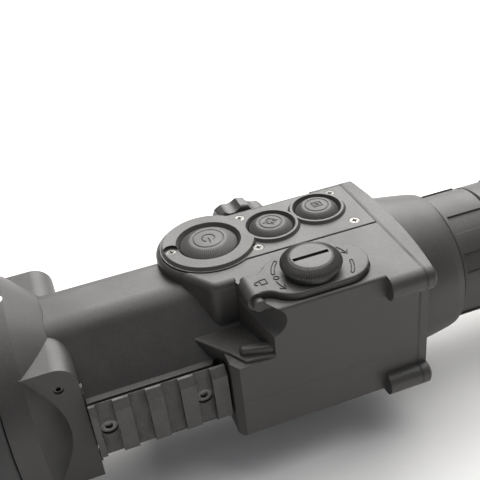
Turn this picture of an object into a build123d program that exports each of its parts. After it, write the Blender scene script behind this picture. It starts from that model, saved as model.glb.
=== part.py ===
"""Battery-powered electronic riflescope, built as separate named solids.

+X runs along the optical axis towards the eye, +Y to the shooter's right, +Z up.
The origin is the middle of the three threaded holes, on the mounting face.
All lengths are millimetres.
"""
from build123d import *
import math
import os

# Heights
AXIS_Z = 30.0                      # optical axis above the mounting face
DECK_Z = AXIS_Z + 29.75            # top of the housing
PLATE_Z = DECK_Z + 0.25            # top of the control plate between its rings
RING_Z = DECK_Z + 1.25             # top of the raised rings round the buttons
LID_Z = DECK_Z + 2.25              # top of the battery lid
LEDGE_Z = AXIS_Z + 13.2            # shelf in front of the battery box
LEDGE_THICKNESS = 4.4
SEAM_Z = AXIS_Z - 2.0              # split between housing and bottom cover
BELLY_Z = AXIS_Z - 17.2            # underside of the bottom cover

# Housing
WALL = 2.0
NECK_TOP_Z, NECK_LOW_Z = AXIS_Z + 25.5, AXIS_Z - 22.0
NECK_RIDGE_Y, NECK_SIDE_Y = 9.3, 24.0    # half widths of the flat top and of the sides
NECK_FRONT_X, NECK_REAR_X = -66.0, -8.0
BODY_REAR_X = 44.1
NEAR_Y = -36.8                     # outer face of the battery box
DECK_FAR_Y = 18.6
FAR_Y = 26.0
LUG_REACH = 4.2                    # screw lugs stand this far out of the side
GASKET = 0.8

# Buttons: (x, y, hole radius in the plate)
BUTTON_Y = 5.2
POWER_BUTTON = (-9.3, 4.8, 9.7)
CALIBRATE_BUTTON = (12.3, 4.4, 7.6)
MENU_BUTTON = (30.0, 6.8, 7.6)
BUTTONS = (POWER_BUTTON, CALIBRATE_BUTTON, MENU_BUTTON)
BUTTON_GAP = 0.3
PLATE_SCREWS = ((-21.9, 5.2), (4.6, 13.9), (4.3, -5.2), (38.2, 14.2), (38.1, -5.4))

# Battery compartment: bay and lid are slot shapes about the same middle
BAY_MIDDLE = (14.8, -25.4)
BAY_CENTRES = 14.4                 # distance between the slot's two end centres
BAY_RADIUS, LID_RADIUS = 8.7, 9.8
CELL_RADIUS, CELL_LENGTH, CELL_PITCH = 7.6, 34.0, 15.5
HINGE_X, HINGE_Z, HINGE_RADIUS = -5.3, LID_Z - 3.1, 3.1
HINGE_Y = (-29.9, -21.1)
KNOB_X, KNOB_Y, KNOB_RADIUS = 13.8, -25.6, 9.4

# Accessory rail
RAIL_X = (-60.0, -18.0)
RAIL_PITCH, RAIL_SLOT, RAIL_FIRST_SLOT = 10.0, 5.2, -25.4
RAIL_Z, RAIL_HALF = AXIS_Z - 1.4, 10.6
RAIL_FACE_Y, RAIL_SLOT_Y, RAIL_BACK_Y = -32.4, -29.4, -26.0

# Objective
BELL_RADIUS = 35.0
BARREL_RADIUS = 31.0
CELL_BORE = 28.5
OBJECTIVE_FRONT_X = -135.0
CAP_HINGE_X, CAP_HINGE_Z = -132.0, AXIS_Z + 38.6

# Eyepiece
TUBE_RADIUS = 19.0
TUBE_BORE = 17.2
DIOPTER_RADIUS = 22.7
EYECUP_END_X = 146.0

# Control wheel on the right side
WHEEL_X, WHEEL_Z, WHEEL_RADIUS = 8.6, AXIS_Z + 13.5, 12.8

# Mounting face
MOUNT_HOLES_X = (-25.0, 0.0, 25.0)
MOUNT_HOLE_RADIUS, MOUNT_HOLE_DEPTH = 2.1, 8.0


def block(x, y, z):
    """Box between (low, high) pairs."""
    pairs = (x, y, z)
    size = [high - low for low, high in pairs]
    centre = [(high + low) / 2 for low, high in pairs]
    return Pos(*centre) * Box(*size)


def upright(x, y, z, radius):
    """Cylinder along Z between the two heights in z."""
    return Pos(x, y, sum(z) / 2) * Cylinder(radius, z[1] - z[0])


def rod_x(x, y, z, radius):
    """Cylinder along X between the two places in x."""
    return Pos(sum(x) / 2, y, z) * Rot(0, 90, 0) * Cylinder(radius, x[1] - x[0])


def rod_y(x, y, z, radius):
    """Cylinder along Y between the two places in y."""
    return Pos(x, sum(y) / 2, z) * Rot(90, 0, 0) * Cylinder(radius, y[1] - y[0])


def polygon(points):
    return make_face(Polyline(points, close=True))


def slab(outline, z):
    """Plan outline extruded between two heights."""
    return extrude(Pos(0, 0, z[0]) * outline, amount=z[1] - z[0])


def along_x(outline, x):
    """Outline drawn in (y, z), extruded between two places on X."""
    plane = Plane(origin=(x[0], 0, 0), x_dir=(0, 1, 0), z_dir=(1, 0, 0))
    return extrude(plane * outline, amount=x[1] - x[0])


def turned(*corners):
    """Solid turned about the optical axis from (x, radius) corners."""
    face = make_face(Polyline([(x, 0, AXIS_Z + radius) for x, radius in corners], close=True))
    return revolve(face, Axis((0, 0, AXIS_Z), (1, 0, 0)))


def sleeve(x, outer, inner):
    return turned((x[0], inner), (x[1], inner), (x[1], outer), (x[0], outer))


def spun_z(x, y, *corners):
    """Solid turned about a vertical line from (radius, z) corners."""
    face = make_face(Polyline([(radius, 0, z) for radius, z in corners], close=True))
    return Pos(x, y, 0) * revolve(face, Axis.Z)


def screw_down(x, y, z_top, length, shank=1.0, head=1.75):
    """Countersunk screw with its flat head at z_top and a cross recess."""
    sink = head - shank
    body = spun_z(x, y, (0, z_top - length), (shank, z_top - length), (shank, z_top - sink),
                  (head, z_top), (0, z_top))
    cross = [block((x - a, x + a), (y - b, y + b), (z_top - 0.5, z_top + 1))
             for a, b in ((0.25, 0.9), (0.9, 0.25))]
    return body - cross


def screw_along(direction, place, length, shank=1.25, head=2.6, head_height=2.0):
    """Cap screw whose head's top is at place and whose shank runs along direction."""
    shank_part = Pos(0, 0, -(length + head_height) / 2) * Cylinder(shank, length - head_height)
    head_part = Pos(0, 0, -head_height / 2) * Cylinder(head, head_height)
    socket = extrude(RegularPolygon(head * 0.5, 6), amount=-head_height * 0.6)
    plane = Plane(origin=place, z_dir=tuple(-value for value in direction))
    return plane * (shank_part + head_part - socket)


# Housing -------------------------------------------------------------------

def neck_section(inset=0.0):
    """Outline of the neck in (y, z): flat top, sloping shoulders, upright sides."""
    right = [(NECK_RIDGE_Y, NECK_TOP_Z), (NECK_SIDE_Y, AXIS_Z + 7), (NECK_SIDE_Y, NECK_LOW_Z)]
    left = [(-y, z) for y, z in reversed(right)]
    outline = polygon(right + left)
    outline = fillet(outline.vertices().group_by(Axis.Y)[-1], 8.5)
    outline = fillet(outline.vertices().group_by(Axis.Y)[0], 16)
    return offset(outline, amount=-inset) if inset else outline


def body_section(low_z, foot_radius=0.0):
    """Outline of the body in (y, z), from low_z up to the deck."""
    outline = polygon([(NEAR_Y, low_z), (NEAR_Y, DECK_Z), (DECK_FAR_Y, DECK_Z),
                       (DECK_FAR_Y, DECK_Z - 5), (FAR_Y, AXIS_Z + 14), (FAR_Y, low_z)])
    outline = fillet(outline.vertices().group_by(Axis.Y)[-1], 1.0)
    if foot_radius:
        outline = fillet(outline.vertices().group_by(Axis.Y)[0], foot_radius)
    return outline


def box_plan():
    """Plan of the body and of the battery box beside the neck."""
    front_x = RAIL_X[1] + 0.8
    return polygon([(front_x, -18.0), (front_x, NEAR_Y + 3), (front_x + 2.0, NEAR_Y), (BODY_REAR_X, NEAR_Y),
                    (BODY_REAR_X, FAR_Y), (NECK_REAR_X, FAR_Y), (NECK_REAR_X, -18.0)])


def ledge():
    """Thick shelf with a slanted front that overhangs the battery box."""
    plan = polygon([(-24.2, -18.8), (-16.0, -29.8), (-12.6, -35.6), (-9.4, -35.9), (-3, NEAR_Y), (-3, -17)])
    corners = plan.vertices().sort_by_distance((-12, -36, 0))[:2]
    plan = fillet(corners, 1.3)
    shelf = slab(plan, (LEDGE_Z - LEDGE_THICKNESS, LEDGE_Z))
    rims = shelf.edges().group_by(Axis.Z)[-1].filter_by(lambda edge: edge.center().X < -4)
    lip = slab(Pos(-6.4, -33.2) * Rot(0, 0, -15) * SlotOverall(14, 3.2), (LEDGE_Z - 1, LEDGE_Z + 2.4))
    return fillet(rims, 0.6) + fillet(lip.edges().group_by(Axis.Z)[-1], 1.2)


def deck_front():
    """Front of the deck, round the power button, with a rounded upper edge."""
    x, y, _ = POWER_BUTTON
    outline = Pos(x, y) * Circle(17.6)
    outline += polygon([(-22.3, -8), (-15.3, -18.4), (8, -18.4), (8, DECK_FAR_Y), (x, DECK_FAR_Y)])
    corner = outline.vertices().sort_by_distance((-15.3, -18.4, 0))[0]
    outline = fillet(corner, 4)
    front = slab(outline, (AXIS_Z + 12, DECK_Z))
    return fillet(front.edges().group_by(Axis.Z)[-1], 2.2)


def lug_outline(y, z):
    """Outline of a screw lug in (y, z), rounded on its free side."""
    outline = Pos(sum(y) / 2, sum(z) / 2) * Rectangle(y[1] - y[0], z[1] - z[0])
    free_side = outline.vertices().group_by(Axis.X)[0 if y[0] < NEAR_Y else -1]
    return fillet(free_side, 3.6)


def lug(y, z, x):
    """Block on the side of the body that carries a rear cover screw."""
    return along_x(lug_outline(y, z), x)


NEAR_TOP_LUG = ((NEAR_Y - LUG_REACH, NEAR_Y + 3), (DECK_Z - 8.0, DECK_Z))
NEAR_LOW_LUG = ((NEAR_Y - LUG_REACH, NEAR_Y + 3), (BELLY_Z, BELLY_Z + 7.6))
FAR_TOP_LUG = ((DECK_FAR_Y - 3, DECK_FAR_Y + 2.6), (DECK_Z - 8.5, DECK_Z))
FAR_LOW_LUG = ((FAR_Y - 3, FAR_Y + 2.6), (BELLY_Z, BELLY_Z + 7.6))
UPPER_LUGS = (NEAR_TOP_LUG, FAR_TOP_LUG)
LOWER_LUGS = (NEAR_LOW_LUG, FAR_LOW_LUG)
ALL_LUGS = UPPER_LUGS + LOWER_LUGS
LUG_FRONT_X, LUG_REAR_X = 33.0, 48.0
COVER_SCREWS = [((y[0] + y[1]) / 2, (z[0] + z[1]) / 2) for y, z in ALL_LUGS]
BELLY_SCREWS = ((-11.0, -32.0), (38.0, -31.0), (38.0, 21.5), (-2.5, 21.5))


def bay_outline(radius):
    return Pos(*BAY_MIDDLE) * SlotCenterToCenter(BAY_CENTRES, 2 * radius)


def lid_outline(grow=0.0):
    """Plan of the battery lid: a slot shape with a narrower hinge tab."""
    tab = Rectangle(14, HINGE_Y[1] - HINGE_Y[0] + 2 * grow)
    outline = bay_outline(LID_RADIUS + grow) + Pos(HINGE_X - grow + 7, sum(HINGE_Y) / 2) * tab
    notches = outline.vertices().sort_by(Axis.X)[2:4]
    return fillet(notches, 5)


def control_plate_outline(grow=0.0):
    x, y, _ = POWER_BUTTON
    rear_x = BODY_REAR_X - 0.3 + grow
    return (Pos(x, y) * Circle(16.1 + grow)
            + polygon([(x, -9.3 - grow), (rear_x, -9.3 - grow), (rear_x, 17.4 + grow), (x, 17.4 + grow)]))


def keypad_bay(grow=0.0):
    """Plan of the hollow under the three buttons."""
    bay = Pos(10, BUTTON_Y) * Rectangle(42, 8 + 2 * grow)
    for x, y, radius in BUTTONS:
        bay += Pos(x, y) * Circle(radius + 0.8 + grow)
    return bay


def finger_scoop():
    """Round cut under the lid's hinge, running from the near side to the neck."""
    near = Vector(-5.4, NEAR_Y, AXIS_Z + 25.3)
    across = Vector(-0.46, 0.89, 0)
    plane = Plane(origin=near - across * 4, z_dir=across)
    return extrude(plane * Circle(5.6), amount=24)


def hinge_knuckles():
    """Two ears of the housing that hold the lid's hinge pin."""
    knuckles = []
    for y in ((HINGE_Y[0] - 2.3, HINGE_Y[0] - 0.3), (HINGE_Y[1] + 0.3, HINGE_Y[1] + 2.3)):
        web = block((HINGE_X, -2.0), y, (HINGE_Z - 1.6, HINGE_Z + 0.6))
        foot = block((-3.0, -0.5), y, (HINGE_Z - 1.6, DECK_Z - 1.5))
        knuckles.append(rod_y(HINGE_X, y, HINGE_Z, 1.9) + web + foot)
    return knuckles


def rail_pad():
    """Flat pad on the side of the neck under the accessory rail."""
    pad = block((RAIL_X[0], RAIL_X[1] - 2.0), (RAIL_BACK_Y, -18), (AXIS_Z - 7.2, AXIS_Z + 7.2))
    return fillet(pad.edges().filter_by(Axis.Z).sort_by_distance((RAIL_X[1], RAIL_BACK_Y, AXIS_Z))[0], 1.8)


def main_housing():
    upper_plan = polygon([(-3.5, NEAR_Y), (BODY_REAR_X, NEAR_Y), (BODY_REAR_X, FAR_Y),
                          (NECK_REAR_X, FAR_Y), (NECK_REAR_X, -18.6), (-8.4, -18.6)])
    section = along_x(body_section(SEAM_Z), (-40, BODY_REAR_X))
    body = section & (slab(box_plan(), (SEAM_Z, LEDGE_Z - 1)) + slab(upper_plan, (LEDGE_Z - 2, DECK_Z)))
    body = body + ledge() - finger_scoop()
    shell = body + along_x(neck_section(), (NECK_FRONT_X, NECK_REAR_X)) + deck_front() + rail_pad()
    shell += [lug(y, z, (LUG_FRONT_X, BODY_REAR_X)) for y, z in UPPER_LUGS]
    shell += rod_y(WHEEL_X, (18, FAR_Y + 0.4), WHEEL_Z, 10)

    cavity = polygon([(-14.5, SEAM_Z - 1), (-14.5, AXIS_Z + 19), (16.4, AXIS_Z + 19),
                      (22.6, AXIS_Z + 13), (22.6, SEAM_Z - 1)])
    shell -= along_x(neck_section(WALL), (NECK_FRONT_X - 1, -28))
    shell -= along_x(neck_section(WALL), (-29, NECK_REAR_X - 2)) & block((-30, 0), (-30, 30), (0, AXIS_Z + 19))
    shell -= along_x(neck_section(4), (NECK_REAR_X - 3, NECK_REAR_X + 1)) & block(
        (-20, 0), (-14.5, 22.6), (AXIS_Z - 19, AXIS_Z + 19))
    shell -= along_x(cavity, (-6, BODY_REAR_X + 1))
    shell += [upright(x, y, (AXIS_Z + 11.6, AXIS_Z + 19.5), 2.6) for x, y in BOARD_POSTS]

    shell -= slab(lid_outline(0.4), (DECK_Z - 1.45, DECK_Z + 4))
    shell -= slab(bay_outline(BAY_RADIUS), (SEAM_Z - 1, DECK_Z + 1))
    shell -= upright(KNOB_X, KNOB_Y, (DECK_Z - 6.8, DECK_Z - 4.1), 10.3)
    shell -= rod_y(HINGE_X, (HINGE_Y[0] - 0.3, HINGE_Y[1] + 0.3), HINGE_Z, HINGE_RADIUS + 0.4)
    shell += hinge_knuckles()
    shell -= rod_y(HINGE_X, (HINGE_Y[0] - 1.3, HINGE_Y[1] + 2.3), HINGE_Z, 0.85)

    shell -= slab(control_plate_outline(0.3), (DECK_Z - 1.6, DECK_Z + 4))
    shell -= slab(keypad_bay(), (DECK_Z - 6.2, DECK_Z))
    shell -= [upright(x, y, (DECK_Z - 6.4, DECK_Z + 3), 1.02) for x, y in PLATE_SCREWS]
    shell -= [rod_x((LUG_FRONT_X + 2, 60), y, z, 1.27) for y, z in COVER_SCREWS]
    shell -= [upright(x, y, (SEAM_Z - 1, SEAM_Z + 7), 1.27) for x, y in BELLY_SCREWS]
    shell -= [rod_y(x, (-40, -21.3), RAIL_Z, 1.27) for x in RAIL_SCREWS_X]
    shell -= rod_y(WHEEL_X, (10, 40), WHEEL_Z, 3.06)
    shell -= rod_y(WHEEL_X, (14.9, 21.5), WHEEL_Z, 5.3)
    shell -= upright(BASE_SCREWS_X[0], 0, (0, AXIS_Z - 19), 1.52)
    shell -= block(SOCKET_X, (FAR_Y - 4, FAR_Y + 1), SOCKET_Z)
    return shell


def bottom_cover():
    """Tray that closes the body from below."""
    plan = box_plan()
    tray = slab(plan, (BELLY_Z, SEAM_Z)) & along_x(body_section(BELLY_Z, 2), (-40, BODY_REAR_X))
    tray -= block((NECK_REAR_X - 2, BODY_REAR_X + 1), (NEAR_Y + WALL, FAR_Y - WALL), (BELLY_Z + WALL, SEAM_Z + 1))
    tray -= along_x(neck_section(), (NECK_FRONT_X, NECK_REAR_X))
    posts = [upright(x, y, (BELLY_Z + 1, SEAM_Z), 3.2) for x, y in BELLY_SCREWS]
    tray += [post & slab(plan, (BELLY_Z, SEAM_Z)) for post in posts]
    tray += [lug(y, z, (LUG_FRONT_X, BODY_REAR_X)) for y, z in LOWER_LUGS]
    tray -= [rod_x((LUG_FRONT_X + 2, 60), y, z, 1.27) for y, z in COVER_SCREWS]
    tray -= [upright(x, y, (BELLY_Z - 1, SEAM_Z + 1), 1.27) for x, y in BELLY_SCREWS]
    tray -= [upright(x, y, (BELLY_Z - 1, BELLY_Z + 2.2), 2.7) for x, y in BELLY_SCREWS]
    tray -= [upright(x, 0, (BELLY_Z - 1, BELLY_Z + 6), 1.52) for x in BASE_SCREWS_X if x > 0]
    return tray


def belly_screws():
    return [screw_along((0, 0, 1), (x, y, BELLY_Z), 20) for x, y in BELLY_SCREWS]


def rear_outline():
    """Outline of the body's rear end with its four screw lugs, in (y, z)."""
    outline = body_section(BELLY_Z, 2)
    for y, z in ALL_LUGS:
        outline += lug_outline(y, z)
    return outline


def rear_gasket():
    gasket = along_x(rear_outline(), (BODY_REAR_X, BODY_REAR_X + GASKET))
    inner = polygon([(-14.5, BELLY_Z + 2.2), (-14.5, AXIS_Z + 19), (16.4, AXIS_Z + 19),
                     (22.6, AXIS_Z + 13), (22.6, BELLY_Z + 2.2)])
    gasket -= along_x(inner, (BODY_REAR_X - 1, BODY_REAR_X + 2))
    return gasket - [rod_x((30, 60), y, z, 1.5) for y, z in COVER_SCREWS]


def rear_cover():
    """Closing plate with the round collar that carries the eyepiece."""
    front_x = BODY_REAR_X + GASKET
    bow = make_face([
        Line((front_x, -45), (front_x, 32)),
        Line((front_x, 32), (46.0, 32)),
        ThreePointArc((46.0, 32), (50.2, -6), (46.0, -45)),
        Line((46.0, -45), (front_x, -45))])
    cover = along_x(rear_outline(), (front_x, front_x + 12)) & slab(bow, (0, DECK_Z))
    cover += turned((front_x, 17), (front_x, 27.6), (50, 27.6), (56, 26.9), (62, 26.0), (67, 25.2),
                    (69.2, 24.6), (70.2, 23.6), (70.2, 17))
    for y, z in ALL_LUGS:
        end = lug(y, z, (front_x, LUG_REAR_X))
        cover += chamfer(end.edges().group_by(Axis.X)[-1], 0.8)
    cover -= rod_x((40, 80), 0, AXIS_Z, TUBE_RADIUS + 0.5)
    cover -= [rod_x((40, 60), y, z, 1.5) for y, z in COVER_SCREWS]
    return cover - [rod_x((LUG_REAR_X - 2.2, 60), y, z, 2.7) for y, z in COVER_SCREWS]


def cover_screws():
    return [screw_along((-1, 0, 0), (LUG_REAR_X - 0.1, y, z), 11) for y, z in COVER_SCREWS]


# Controls ------------------------------------------------------------------

def control_plate():
    plate = slab(control_plate_outline(), (DECK_Z - 1.6, PLATE_Z))
    plate = fillet(plate.edges().filter_by(GeomType.LINE).group_by(Axis.Z)[-1].filter_by(Axis.X), 0.35)
    for (x, y, radius), top, foot in zip(BUTTONS, (14.9, 9.1, 9.1), (16.1, 9.9, 9.9)):
        plate += spun_z(x, y, (0, DECK_Z - 1), (foot, DECK_Z - 1), (foot, RING_Z - 1.2 * (foot - top) - 0.1),
                        (top, RING_Z), (0, RING_Z))
    for (x, y, radius), rim in zip(BUTTONS, (10.7, 8.3, 8.3)):
        plate -= spun_z(x, y, (0, DECK_Z - 2), (radius, DECK_Z - 2), (radius, RING_Z - 1.6),
                        (rim, RING_Z), (rim, RING_Z + 1), (0, RING_Z + 1))
    x, y = PLATE_SCREWS[0]
    plate -= upright(x, y, (PLATE_Z, RING_Z + 1), 2.5)
    for x, y in PLATE_SCREWS:
        plate -= spun_z(x, y, (0, DECK_Z - 3), (1.15, DECK_Z - 3), (1.15, PLATE_Z - 0.75), (1.9, PLATE_Z),
                        (1.9, PLATE_Z + 3), (0, PLATE_Z + 3))
    return plate


def plate_screws():
    return [screw_down(x, y, PLATE_Z - 0.05, 6.0) for x, y in PLATE_SCREWS]


def button(x, y, radius):
    """Domed cap with a flange held under the plate and a stem towards the keypad."""
    cap = radius - BUTTON_GAP
    low, shoulder, top = DECK_Z - 2.75, DECK_Z - 1.75, RING_Z + 0.9
    crown = Spline([(cap, top - 2.0), (cap - 1.3, top - 0.6), (0, top)], tangents=[(0, 1), (-1, 0)])
    outline = Polyline((0, top), (0, low), (radius + 0.5, low), (radius + 0.5, shoulder), (cap, shoulder),
                       (cap, top - 2.0))
    body = Pos(x, y) * revolve(Plane.XZ * make_face([crown, outline]), Axis.Z)
    return body + upright(x, y, (DECK_Z - 4.5, low), 3)


def keypad():
    """Rubber sheet with one pad under each button."""
    return slab(keypad_bay(-0.3), (DECK_Z - 6.2, DECK_Z - 5.6))


def control_wheel():
    """Scalloped wheel that turns on its own short shaft."""
    y = (FAR_Y + 0.8, FAR_Y + 8.0)
    wheel = rod_y(WHEEL_X, y, WHEEL_Z, WHEEL_RADIUS)
    wheel = fillet(wheel.edges().filter_by(GeomType.CIRCLE), 1.2)
    for step in range(9):
        angle = math.radians(40 * step + 20)
        reach = WHEEL_RADIUS + 2.6
        wheel -= rod_y(WHEEL_X + reach * math.cos(angle), (y[0] - 1, y[1] + 1),
                       WHEEL_Z + reach * math.sin(angle), 4.2)
    wheel -= rod_y(WHEEL_X, (y[1] - 1.2, y[1] + 1), WHEEL_Z, 8.2)
    wheel += rod_y(WHEEL_X, (18.2, y[0] + 1), WHEEL_Z, 3.0)
    return wheel


def wheel_encoder():
    """Rotary encoder inside the housing, round the wheel's shaft."""
    body = rod_y(WHEEL_X, (15.0, 21.4), WHEEL_Z, 5.2)
    return body - rod_y(WHEEL_X, (17.6, 22), WHEEL_Z, 3.06)


# Battery compartment ----------------------------------------------------------

def battery_lid():
    lid = slab(lid_outline(), (DECK_Z - 1.15, LID_Z))
    lid &= block((HINGE_X, 40), (-50, 0), (40, 80))
    lid = fillet(lid.edges().group_by(Axis.Z)[-1].filter_by(lambda edge: edge.center().X > HINGE_X + 0.1), 0.6)
    lid += rod_y(HINGE_X, HINGE_Y, HINGE_Z, HINGE_RADIUS)
    lid -= rod_y(HINGE_X, (-40, -10), HINGE_Z, 0.86)
    return lid - upright(KNOB_X, KNOB_Y, (40, 80), 2.56)


def lid_seal():
    """Rubber ring under the lid that closes the battery bay."""
    ring = bay_outline(BAY_RADIUS - 0.6) - bay_outline(BAY_RADIUS - 2.4)
    return slab(ring, (DECK_Z - 2.9, DECK_Z - 1.15))


def lid_hinge_pin():
    return rod_y(HINGE_X, (HINGE_Y[0] - 1.2, HINGE_Y[1] + 2.2), HINGE_Z, 0.8)


def lid_knob():
    """Coin-slotted knob with a bevelled, ribbed shoulder."""
    base = LID_Z + 0.1
    knob = spun_z(KNOB_X, KNOB_Y, (0, base), (KNOB_RADIUS - 0.5, base), (KNOB_RADIUS - 0.5, base + 1.4),
                  (KNOB_RADIUS, base + 1.9), (KNOB_RADIUS, base + 2.5), (KNOB_RADIUS - 0.7, base + 3.5),
                  (KNOB_RADIUS - 2.1, base + 4.3), (0, base + 4.6))
    knob -= block((KNOB_X - 5.7, KNOB_X + 5.7), (KNOB_Y - 0.75, KNOB_Y + 0.75), (base + 2.4, base + 6))
    spindle = upright(KNOB_X, KNOB_Y, (DECK_Z - 4.6, base + 0.5), 2.5)
    return knob + spindle


def lid_latch():
    """Bar on the knob's spindle that turns under the rim of the bay."""
    bar = Pos(KNOB_X, KNOB_Y) * SlotOverall(20.0, 6)
    plate = slab(bar, (DECK_Z - 6.4, DECK_Z - 4.6))
    return plate


def battery_holder():
    """Cassette with an open end and two side walls for the two cells."""
    holder = slab(bay_outline(BAY_RADIUS - 0.2), (HOLDER_FLOOR_Z - 1.4, DECK_Z - 7.4))
    x_low, x_high = (BAY_MIDDLE[0] - 13.4, BAY_MIDDLE[0] + 13.4)
    for x in CELLS_X:
        holder -= upright(x, BAY_MIDDLE[1], (HOLDER_FLOOR_Z, DECK_Z), CELL_RADIUS + 0.1)
    holder -= block((-10, x_low), (-40, 0), (HOLDER_FLOOR_Z, DECK_Z))
    return holder - block((x_high, 50), (-40, 0), (HOLDER_FLOOR_Z, DECK_Z))


CELLS_X = (BAY_MIDDLE[0] - CELL_PITCH / 2, BAY_MIDDLE[0] + CELL_PITCH / 2)
HOLDER_FLOOR_Z = BELLY_Z + WALL + 1.4
CELL_LOW_Z = HOLDER_FLOOR_Z + 0.9


def battery_cells():
    """Two cells, each with a raised contact on top."""
    cells = []
    top = CELL_LOW_Z + CELL_LENGTH - 1.2
    for x in CELLS_X:
        cell = upright(x, BAY_MIDDLE[1], (CELL_LOW_Z, top), CELL_RADIUS)
        cells.append(cell + upright(x, BAY_MIDDLE[1], (top, top + 1.0), 2.8))
    return cells


def battery_contacts():
    """Sprung discs under the cells."""
    low = HOLDER_FLOOR_Z
    return [spun_z(x, BAY_MIDDLE[1], (0, low), (5.5, low), (5.5, low + 0.3), (3, low + 0.85), (0, low + 0.85))
            for x in CELLS_X]


# Electronics -------------------------------------------------------------------

BOARD_X, BOARD_Y = (-4.0, 37.0), (-12.5, 13.0)
BOARD_Z = (AXIS_Z + 10.0, AXIS_Z + 11.6)
BOARD_POSTS = ((-0.5, -9.0), (-0.5, 9.5), (33.5, -9.0), (33.5, 9.5))


def main_board():
    board = block(BOARD_X, BOARD_Y, BOARD_Z)
    board += block((4, 18), (-6, 8), (BOARD_Z[0] - 1.2, BOARD_Z[0]))
    board += block((22, 29), (-4, 5), (BOARD_Z[0] - 1.6, BOARD_Z[0]))
    return board - [upright(x, y, (BOARD_Z[0] - 1, BOARD_Z[1] + 1), 1.3) for x, y in BOARD_POSTS]


def board_screws():
    return [screw_along((0, 0, 1), (x, y, BOARD_Z[0] - 1.2), 2.8, 1.2, 2.2, 1.2) for x, y in BOARD_POSTS]


def sensor_carrier():
    """Plate in the front of the neck with a window for the light path."""
    plate = along_x(neck_section(WALL + 0.1), (NECK_FRONT_X + 0.5, NECK_FRONT_X + 3.5))
    return plate - rod_x((-70, -50), 0, AXIS_Z, 8.5)


def sensor_board():
    x = NECK_FRONT_X + 3.5
    return block((x, x + 1.6), (-14, 14), (AXIS_Z - 14, AXIS_Z + 14))


def image_sensor():
    x = NECK_FRONT_X + 3.5
    return block((x - 1.8, x), (-5.5, 5.5), (AXIS_Z - 4.5, AXIS_Z + 4.5))


def display_carrier():
    """Disc in the front end of the eyepiece tube that holds the display."""
    disc = rod_x((46.5, 49.5), 0, AXIS_Z, TUBE_BORE)
    return disc - block((48.5, 50), (-7, 7), (AXIS_Z - 5.5, AXIS_Z + 5.5))


def display_panel():
    return block((48.5, 50.6), (-7, 7), (AXIS_Z - 5.5, AXIS_Z + 5.5))


SOCKET_X, SOCKET_Z = (24.0, 33.0), (AXIS_Z + 2.0, AXIS_Z + 8.0)


def data_socket():
    """Metal shell of the data and power socket."""
    shell = block((SOCKET_X[0] + 0.1, SOCKET_X[1] - 0.1), (18.5, 24.8), (SOCKET_Z[0] + 0.1, SOCKET_Z[1] - 0.1))
    hollow = block((SOCKET_X[0] + 0.7, SOCKET_X[1] - 0.7), (20.5, 25), (SOCKET_Z[0] + 0.7, SOCKET_Z[1] - 0.7))
    tongue = block((SOCKET_X[0] + 2, SOCKET_X[1] - 2), (20, 24.2), (AXIS_Z + 4.6, AXIS_Z + 5.4))
    return shell - hollow + tongue


def socket_cover():
    """Rubber flap over the socket, hinged along its lower edge."""
    y = (FAR_Y + 0.15, FAR_Y + 2.2)
    flap = block((SOCKET_X[0] - 2, SOCKET_X[1] + 2), y, (SOCKET_Z[0] - 2, SOCKET_Z[1] + 2))
    flap = fillet(flap.edges().filter_by(Axis.Y), 2)
    grip = block((26.5, 30.5), (y[1] - 0.5, y[1] + 1.4), (SOCKET_Z[1] - 0.4, SOCKET_Z[1] + 1.6))
    barrel = rod_x((SOCKET_X[0] - 1, SOCKET_X[1] + 1), sum(y) / 2, SOCKET_Z[0] - 2, 1.02)
    return flap + fillet(grip.edges().group_by(Axis.Y)[-1], 0.6) + barrel


# Rail and base -----------------------------------------------------------------

RAIL_SCREWS_X = (RAIL_FIRST_SLOT, RAIL_FIRST_SLOT - 3 * RAIL_PITCH)
BASE_SCREWS_X = (-36.0, 36.0)


def accessory_rail():
    """Slotted rail of the common 21.2 mm width on the left side of the neck."""
    half, foot, face = RAIL_HALF, 7.2, 8.4
    shape = polygon([(RAIL_BACK_Y, RAIL_Z - foot), (RAIL_BACK_Y - 1.0, RAIL_Z - foot),
                     (RAIL_BACK_Y - 3.2, RAIL_Z - half), (RAIL_BACK_Y - 4.2, RAIL_Z - half),
                     (RAIL_FACE_Y, RAIL_Z - face), (RAIL_FACE_Y, RAIL_Z + face),
                     (RAIL_BACK_Y - 4.2, RAIL_Z + half), (RAIL_BACK_Y - 3.2, RAIL_Z + half),
                     (RAIL_BACK_Y - 1.0, RAIL_Z + foot), (RAIL_BACK_Y, RAIL_Z + foot)])
    rail = along_x(shape, RAIL_X)
    for step in range(4):
        x = RAIL_FIRST_SLOT - step * RAIL_PITCH
        rail -= block((x - RAIL_SLOT / 2, x + RAIL_SLOT / 2), (RAIL_FACE_Y - 1, RAIL_SLOT_Y), (0, 60))
    rail -= [rod_y(x, (-40, -20), RAIL_Z, 1.3) for x in RAIL_SCREWS_X]
    return rail - [rod_y(x, (-40, RAIL_SLOT_Y + 2.4), RAIL_Z, 2.75) for x in RAIL_SCREWS_X]


def rail_screws():
    return [screw_along((0, 1, 0), (x, RAIL_SLOT_Y + 0.7, RAIL_Z), 7, 1.25, 2.65, 1.5) for x in RAIL_SCREWS_X]


def mounting_base():
    """Metal foot with three threaded holes for a rifle mount."""
    base = block((-42, 42), (-13, 13), (0, BELLY_Z))
    base = fillet(base.edges().filter_by(Axis.Z), 4)
    base -= along_x(neck_section(), (-70, NECK_REAR_X))
    base -= [upright(x, 0, (-1, MOUNT_HOLE_DEPTH), MOUNT_HOLE_RADIUS) for x in MOUNT_HOLES_X]
    base -= [upright(x, 0, (-1, 20), 1.52) for x in BASE_SCREWS_X]
    return base - [upright(x, 0, (-1, 3.4), 2.8) for x in BASE_SCREWS_X]


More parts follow.
